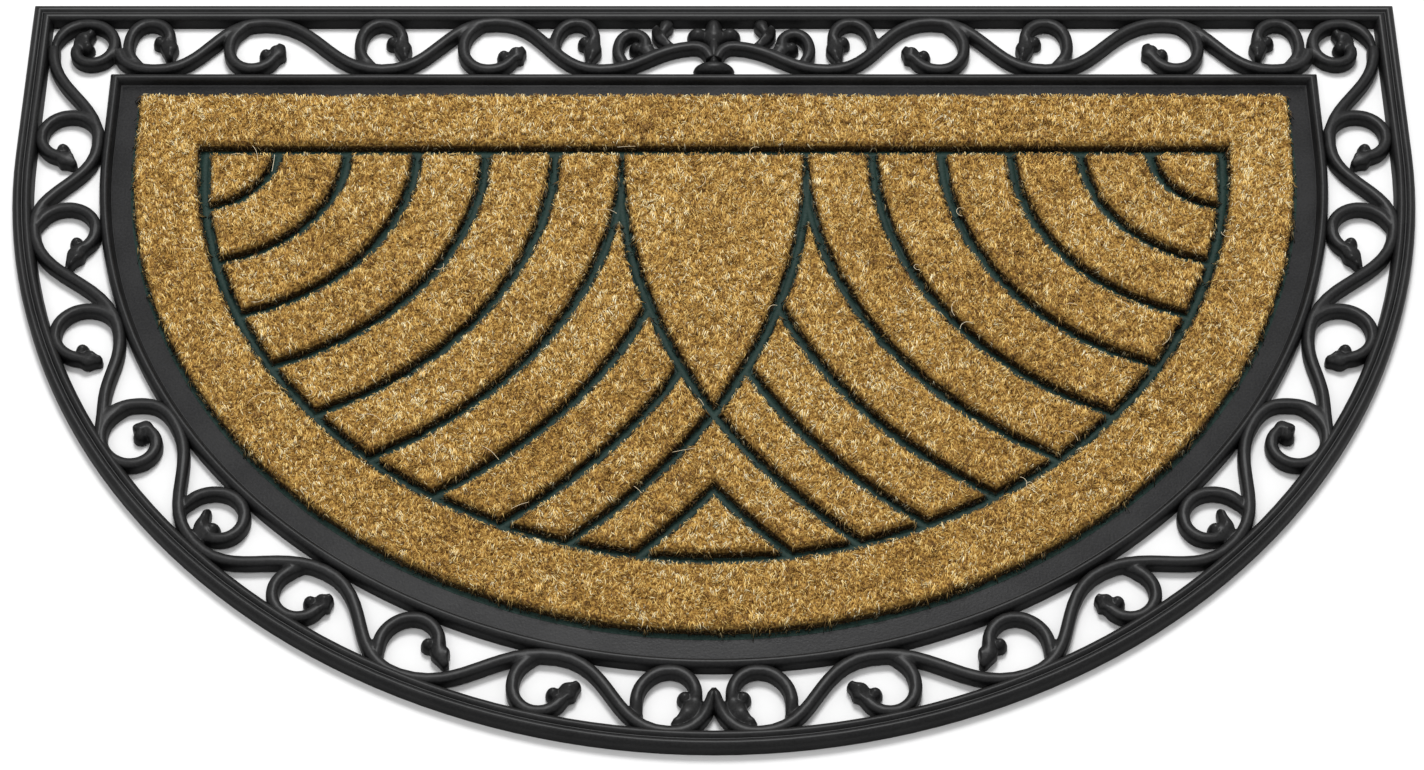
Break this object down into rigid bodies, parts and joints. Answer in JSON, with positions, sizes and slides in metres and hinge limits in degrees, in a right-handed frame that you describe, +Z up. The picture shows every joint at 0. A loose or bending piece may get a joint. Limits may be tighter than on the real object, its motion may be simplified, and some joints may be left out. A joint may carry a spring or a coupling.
{
  "type": "half round doormat",
  "caption": "Half round doormat: a flat black rubber base with an open scroll border, filled with low brush-like coir panels in a fan pattern.",
  "frame": {"origin": "middle of the mat's bounding box, on the floor", "axes": "+X along the straight edge, +Y towards the straight edge, +Z up out of the pile"},
  "size_m": [0.762, 0.47, 0.0145],
  "materials": {
    "rubber": "moulded, faint grain, dull sheen",
    "coir": "stiff upright coir pile, matt"
  },
  "bodies": {
    "root": {"rubber_base": "rubber", "coir_band": "coir", "coir_left_1": "coir", "coir_left_2": "coir", "coir_left_3": "coir", "coir_left_4": "coir", "coir_left_5": "coir", "coir_left_6": "coir", "coir_left_7": "coir", "coir_left_8": "coir", "coir_left_9": "coir", "coir_right_1": "coir", "coir_right_2": "coir", "coir_right_3": "coir", "coir_right_4": "coir", "coir_right_5": "coir", "coir_right_6": "coir", "coir_right_7": "coir", "coir_right_8": "coir", "coir_right_9": "coir", "coir_petal": "coir", "coir_chevron": "coir", "coir_triangle": "coir"}
  },
  "joints": []
}
